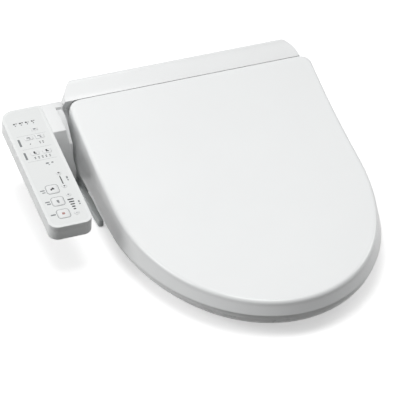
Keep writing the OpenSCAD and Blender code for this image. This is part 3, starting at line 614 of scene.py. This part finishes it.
armWeb = {
    "x": (-213.0, -200.6),
    "y": (-31.0, 14.4),
    "low": 40.0,
    "top": (92.0, 124.6),
    "steps": 10,
    "edge": 0.8,
}


def makeArmWeb():
    # A rounded web in the corner between the arm, the case and the lid
    bm = bmesh.new()
    rows = []
    outer, inner = armWeb["x"]
    front, rear = armWeb["y"]
    start, top = armWeb["top"]
    for i in range(armWeb["steps"] + 1):
        t = i / armWeb["steps"]
        y = front + (rear - front) * t
        z = start + (top - start) * math.sin(t * math.pi / 2)
        section = ((outer, armWeb["low"]), (outer, z), (inner - 2, z - 1),
                   (inner, z - 4), (inner, armWeb["low"]))
        rows.append([bm.verts.new((x * mm, y * mm, h * mm)) for x, h in section])
    skin(bm, rows, True)
    bm.faces.new(rows[0])
    bm.faces.new(rows[-1])
    bmesh.ops.recalc_face_normals(bm, faces=bm.faces)
    web = makeObject("armWeb", bm)
    addBevel(web, armWeb["edge"], 2)
    settle(web)
    paint(web, "caseWhite")
    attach(web, "unit")


# control panel
panel = {"middle": (-264.75, -102.6, 111.0), "tilt": 8.3, "keyProud": 0.5}
keys = {
    "stop_button": (-5.5, -105.1, 17, 17, 3.5),
    "rear_wash_button": (-5.5, -51.5, 17, 17, 3.5),
    "front_wash_button": (-5.5, -78.3, 17, 17, 3.5),
}
keyEdges = {
    "pressure_up_button": 0.3, "pressure_down_button": 0.3, "nozzle_forward_button": 0.3,
    "nozzle_back_button": 0.3, "power_save_button": 0.3, "nozzle_clean_button": 0.3,
    "deodorizer_button": 0.3, "water_heat_button": 0.3, "seat_heat_button": 0.3,
    "stop_button": 0.4, "rear_wash_button": 0.4, "front_wash_button": 0.4,
}


def onPanel(u, v, w):
    tilt = math.radians(panel["tilt"])
    x, y, z = panel["middle"]
    return Vector((
        x + u,
        y + v * math.cos(tilt) - w * math.sin(tilt),
        z + v * math.sin(tilt) + w * math.cos(tilt),
    )) * mm


def roundedOutline(u, v, width, length, radius, steps=5):
    points = []
    for k, (cx, cy) in enumerate(((1, 1), (-1, 1), (-1, -1), (1, -1))):
        for i in range(steps + 1):
            a = math.radians(90 * k + 90 * i / steps)
            points.append((u + cx * (width / 2 - radius) + radius * math.cos(a),
                           v + cy * (length / 2 - radius) + radius * math.sin(a)))
    return points


def inkPlate(bm, outline, low, high):
    # A thin printed or raised mark with the given outline
    bottom = [bm.verts.new(onPanel(u, v, low)) for u, v in outline]
    top = [bm.verts.new(onPanel(u, v, high)) for u, v in outline]
    bm.faces.new(top)
    bm.faces.new(bottom[::-1])
    skin(bm, [bottom, top], True)


def inkFrame(bm, outer, inner, low, high):
    # A thin closed line between two outlines of equal count
    rows = [[bm.verts.new(onPanel(u, v, w)) for u, v in line]
            for line, w in ((outer, low), (outer, high), (inner, high), (inner, low))]
    skin(bm, rows + rows[:1], True)


def inkPiece(name, bm, look, body):
    bmesh.ops.recalc_face_normals(bm, faces=bm.faces)
    piece = makeObject(name, bm)
    paint(piece, look)
    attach(piece, body)


def block(bm, u, v, width, length, radius, low, high):
    radius = min(radius, width / 2 - 0.01, length / 2 - 0.01)
    inkPlate(bm, roundedOutline(u, v, width, length, radius, 4), low, high)


prints = {
    "rules": [(0, 71, 44), (0, 41.4, 44), (0, 13.7, 44)],
    "labels": [(-21.5, 57, 3.2, 16), (-21.5, 27, 3.2, 16), (-20.5, -51, 7, 2.2), (-19.5, -55.5, 5, 1.8),
               (-20.5, -76, 7, 2.2), (-19.5, -80.5, 6, 2.2), (-20.5, -104, 7.5, 2.6),
               (22.4, -33, 2.4, 5), (22.4, -38.5, 2.2, 2.4), (23.4, -86.5, 2.4, 4), (23.4, -91.5, 2.2, 2.4)],
    "headings": [(-17.6, 99.6, 2.6, 3), (-14.2, 100.2, 1.8, 1.8), (-8.4, 99.6, 3.2, 2.6), (-5, 100.2, 1.8, 2.2),
                 (0.7, 99.6, 3, 2.6), (4, 99.4, 1.8, 1.4), (10, 99.8, 2.6, 2.8), (13.2, 100.4, 1.8, 1.8)],
    "smallMarks": [(-9, 21.6, 2.6, 1.7), (-3.4, 21.6, 2.6, 1.9), (2.2, 21.6, 2.6, 2.1), (7.8, 21.6, 2.6, 1.9),
                   (13.4, 21.6, 2.6, 1.7), (4.4, 4.5, 4.5, 3), (12, 4.5, 3.2, 2.6), (6, 0.5, 2.2, 1.4)],
    "bars": [(13.2, -79 - 5.2 * i, 9 - 1.3 * i, 2.3) for i in range(5)],
    "positionBar": (13.1, -36, 1.5, 18),
}


def makePrints():
    sheet, high = -0.02, 0.06
    dark, grey, pale = bmesh.new(), bmesh.new(), bmesh.new()
    for u, v, width in prints["rules"]:
        block(pale, u, v, width, 0.5, 0.1, sheet, high)
    for mark in prints["labels"]:
        block(grey, *mark, 0.6, sheet, high)
    for mark in prints["headings"]:
        block(dark, *mark, 0.6, sheet, high)
    for mark in prints["smallMarks"]:
        block(grey, *mark, 0.5, sheet, high)
    for mark in prints["bars"]:
        block(dark, *mark, 0.5, sheet, high + 0.02)
    block(dark, *prints["positionBar"], 0.7, sheet, high)
    for u, v, width, length, radius in keys.values():
        inkFrame(grey, roundedOutline(u, v, width + 2.4, length + 2.4, radius + 1.2),
                 roundedOutline(u, v, width + 1.2, length + 1.2, radius + 0.6), sheet, high)
    for look, bm in (("inkDark", dark), ("inkGrey", grey), ("inkPale", pale)):
        inkPiece("panelPrint" + look[3:], bm, look, "unit")


def makeKeyMarks():
    low, high = panel["keyProud"] - 0.02, panel["keyProud"] + 0.08
    marks = {
        "rear_wash": ("inkDark", [
            (-5.5, -51.5, 6, 2.2), (-4.6, -49.6, 2.4, 2.4), (-7.5, -53.3, 2.2, 1.4)]),
        "front_wash": ("inkGrey", [(-5.5, -78.3, 3.4, 5), (-5.2, -81.8, 2, 1.6)]),
        "stop": ("inkRed", [(-5.5, -105.1, 4.2, 4.2)]),
        "pressure_up": ("inkGrey", [(13.2, -68.7, 3.6, 0.9), (13.2, -68.7, 0.9, 3.6)]),
        "pressure_down": ("inkGrey", [(13.2, -108.6, 3.6, 0.9)]),
        "nozzle_forward": ("inkDark", [(13.2, -20.6, 3, 2.6)]),
        "nozzle_back": ("inkDark", [(13.2, -49.7, 2.6, 2.4)]),
        "power_save": ("inkGrey", [(8, 81.5, 4.5, 2.6)]),
        "nozzle_clean": ("inkGrey", [(-6.5, 64.8, 5, 2.2), (-4.5, 62, 2.2, 1.8)]),
        "deodorizer": ("inkGrey", [(10.5, 65.5, 6, 1.6), (12, 62.4, 3, 1.8)]),
        "water_heat": ("inkDark", [(-7, 31.3, 2.6, 5), (-5.4, 29.3, 2.4, 2)]),
        "seat_heat": ("inkDark", [(11.4, 31.3, 2.6, 5), (13.2, 29.5, 2.4, 1.6)]),
    }
    for key, (look, shapes) in marks.items():
        bm = bmesh.new()
        for i, (u, v, width, length) in enumerate(shapes):
            block(bm, u, v, width, length, 0.9, low, high + 0.01 * i)
        inkPiece(key + "Mark", bm, look, key + "_key")


def makeKeys():
    for node, width in keyEdges.items():
        paint(softened(node, width, 2), "keyWhite")


# what stays as the CAD has it, in its finish
plainParts = {
    "release_latch": "trayGrey", "water_inlet": "brass", "tank_heater": "steel", "float_switch": "darkPlastic",
    "water_hoses": "tankClear", "nozzle_guide": "trayGrey", "nozzle_arm": "nozzleWhite", "nozzle_motor": "steel",
    "drive_pinion": "nozzleWhite", "power_board": "boardGreen", "board_components": "darkPlastic",
    "deodorizer_filter": "darkPlastic", "fan_rotor": "darkPlastic", "fan_motor": "steel", "hinge_pins": "steel",
    "seat_damper": "darkPlastic", "lid_damper": "darkPlastic", "case_screws": "steel", "tray_feet": "rubberGrey",
    "lid_bumpers": "rubberGrey", "seat_heater": "foil", "panel_sheet": "filmWhite", "panel_board": "boardGreen",
    "panel_lamps": "inkDark", "panel_screws": "steel", "cord_gland": "rubberGrey",
}


def paintPlainParts():
    for node, look in plainParts.items():
        part = frame["nodes"][node]
        for i in range(max(1, len(part.material_slots))):
            if part.material_slots:
                part.material_slots[i].material = finish(look)
            else:
                part.data.materials.append(finish(look))


addCamera()
addStudio()
print("camera and studio ready")
makeLid()
print("lid ready")
makeSeat()
print("seat ready")
makeShells()
makeArmWeb()
print("shells ready")
makeKeys()
makePrints()
makeKeyMarks()
print("panel ready")
paintPlainParts()
print("finishes ready")
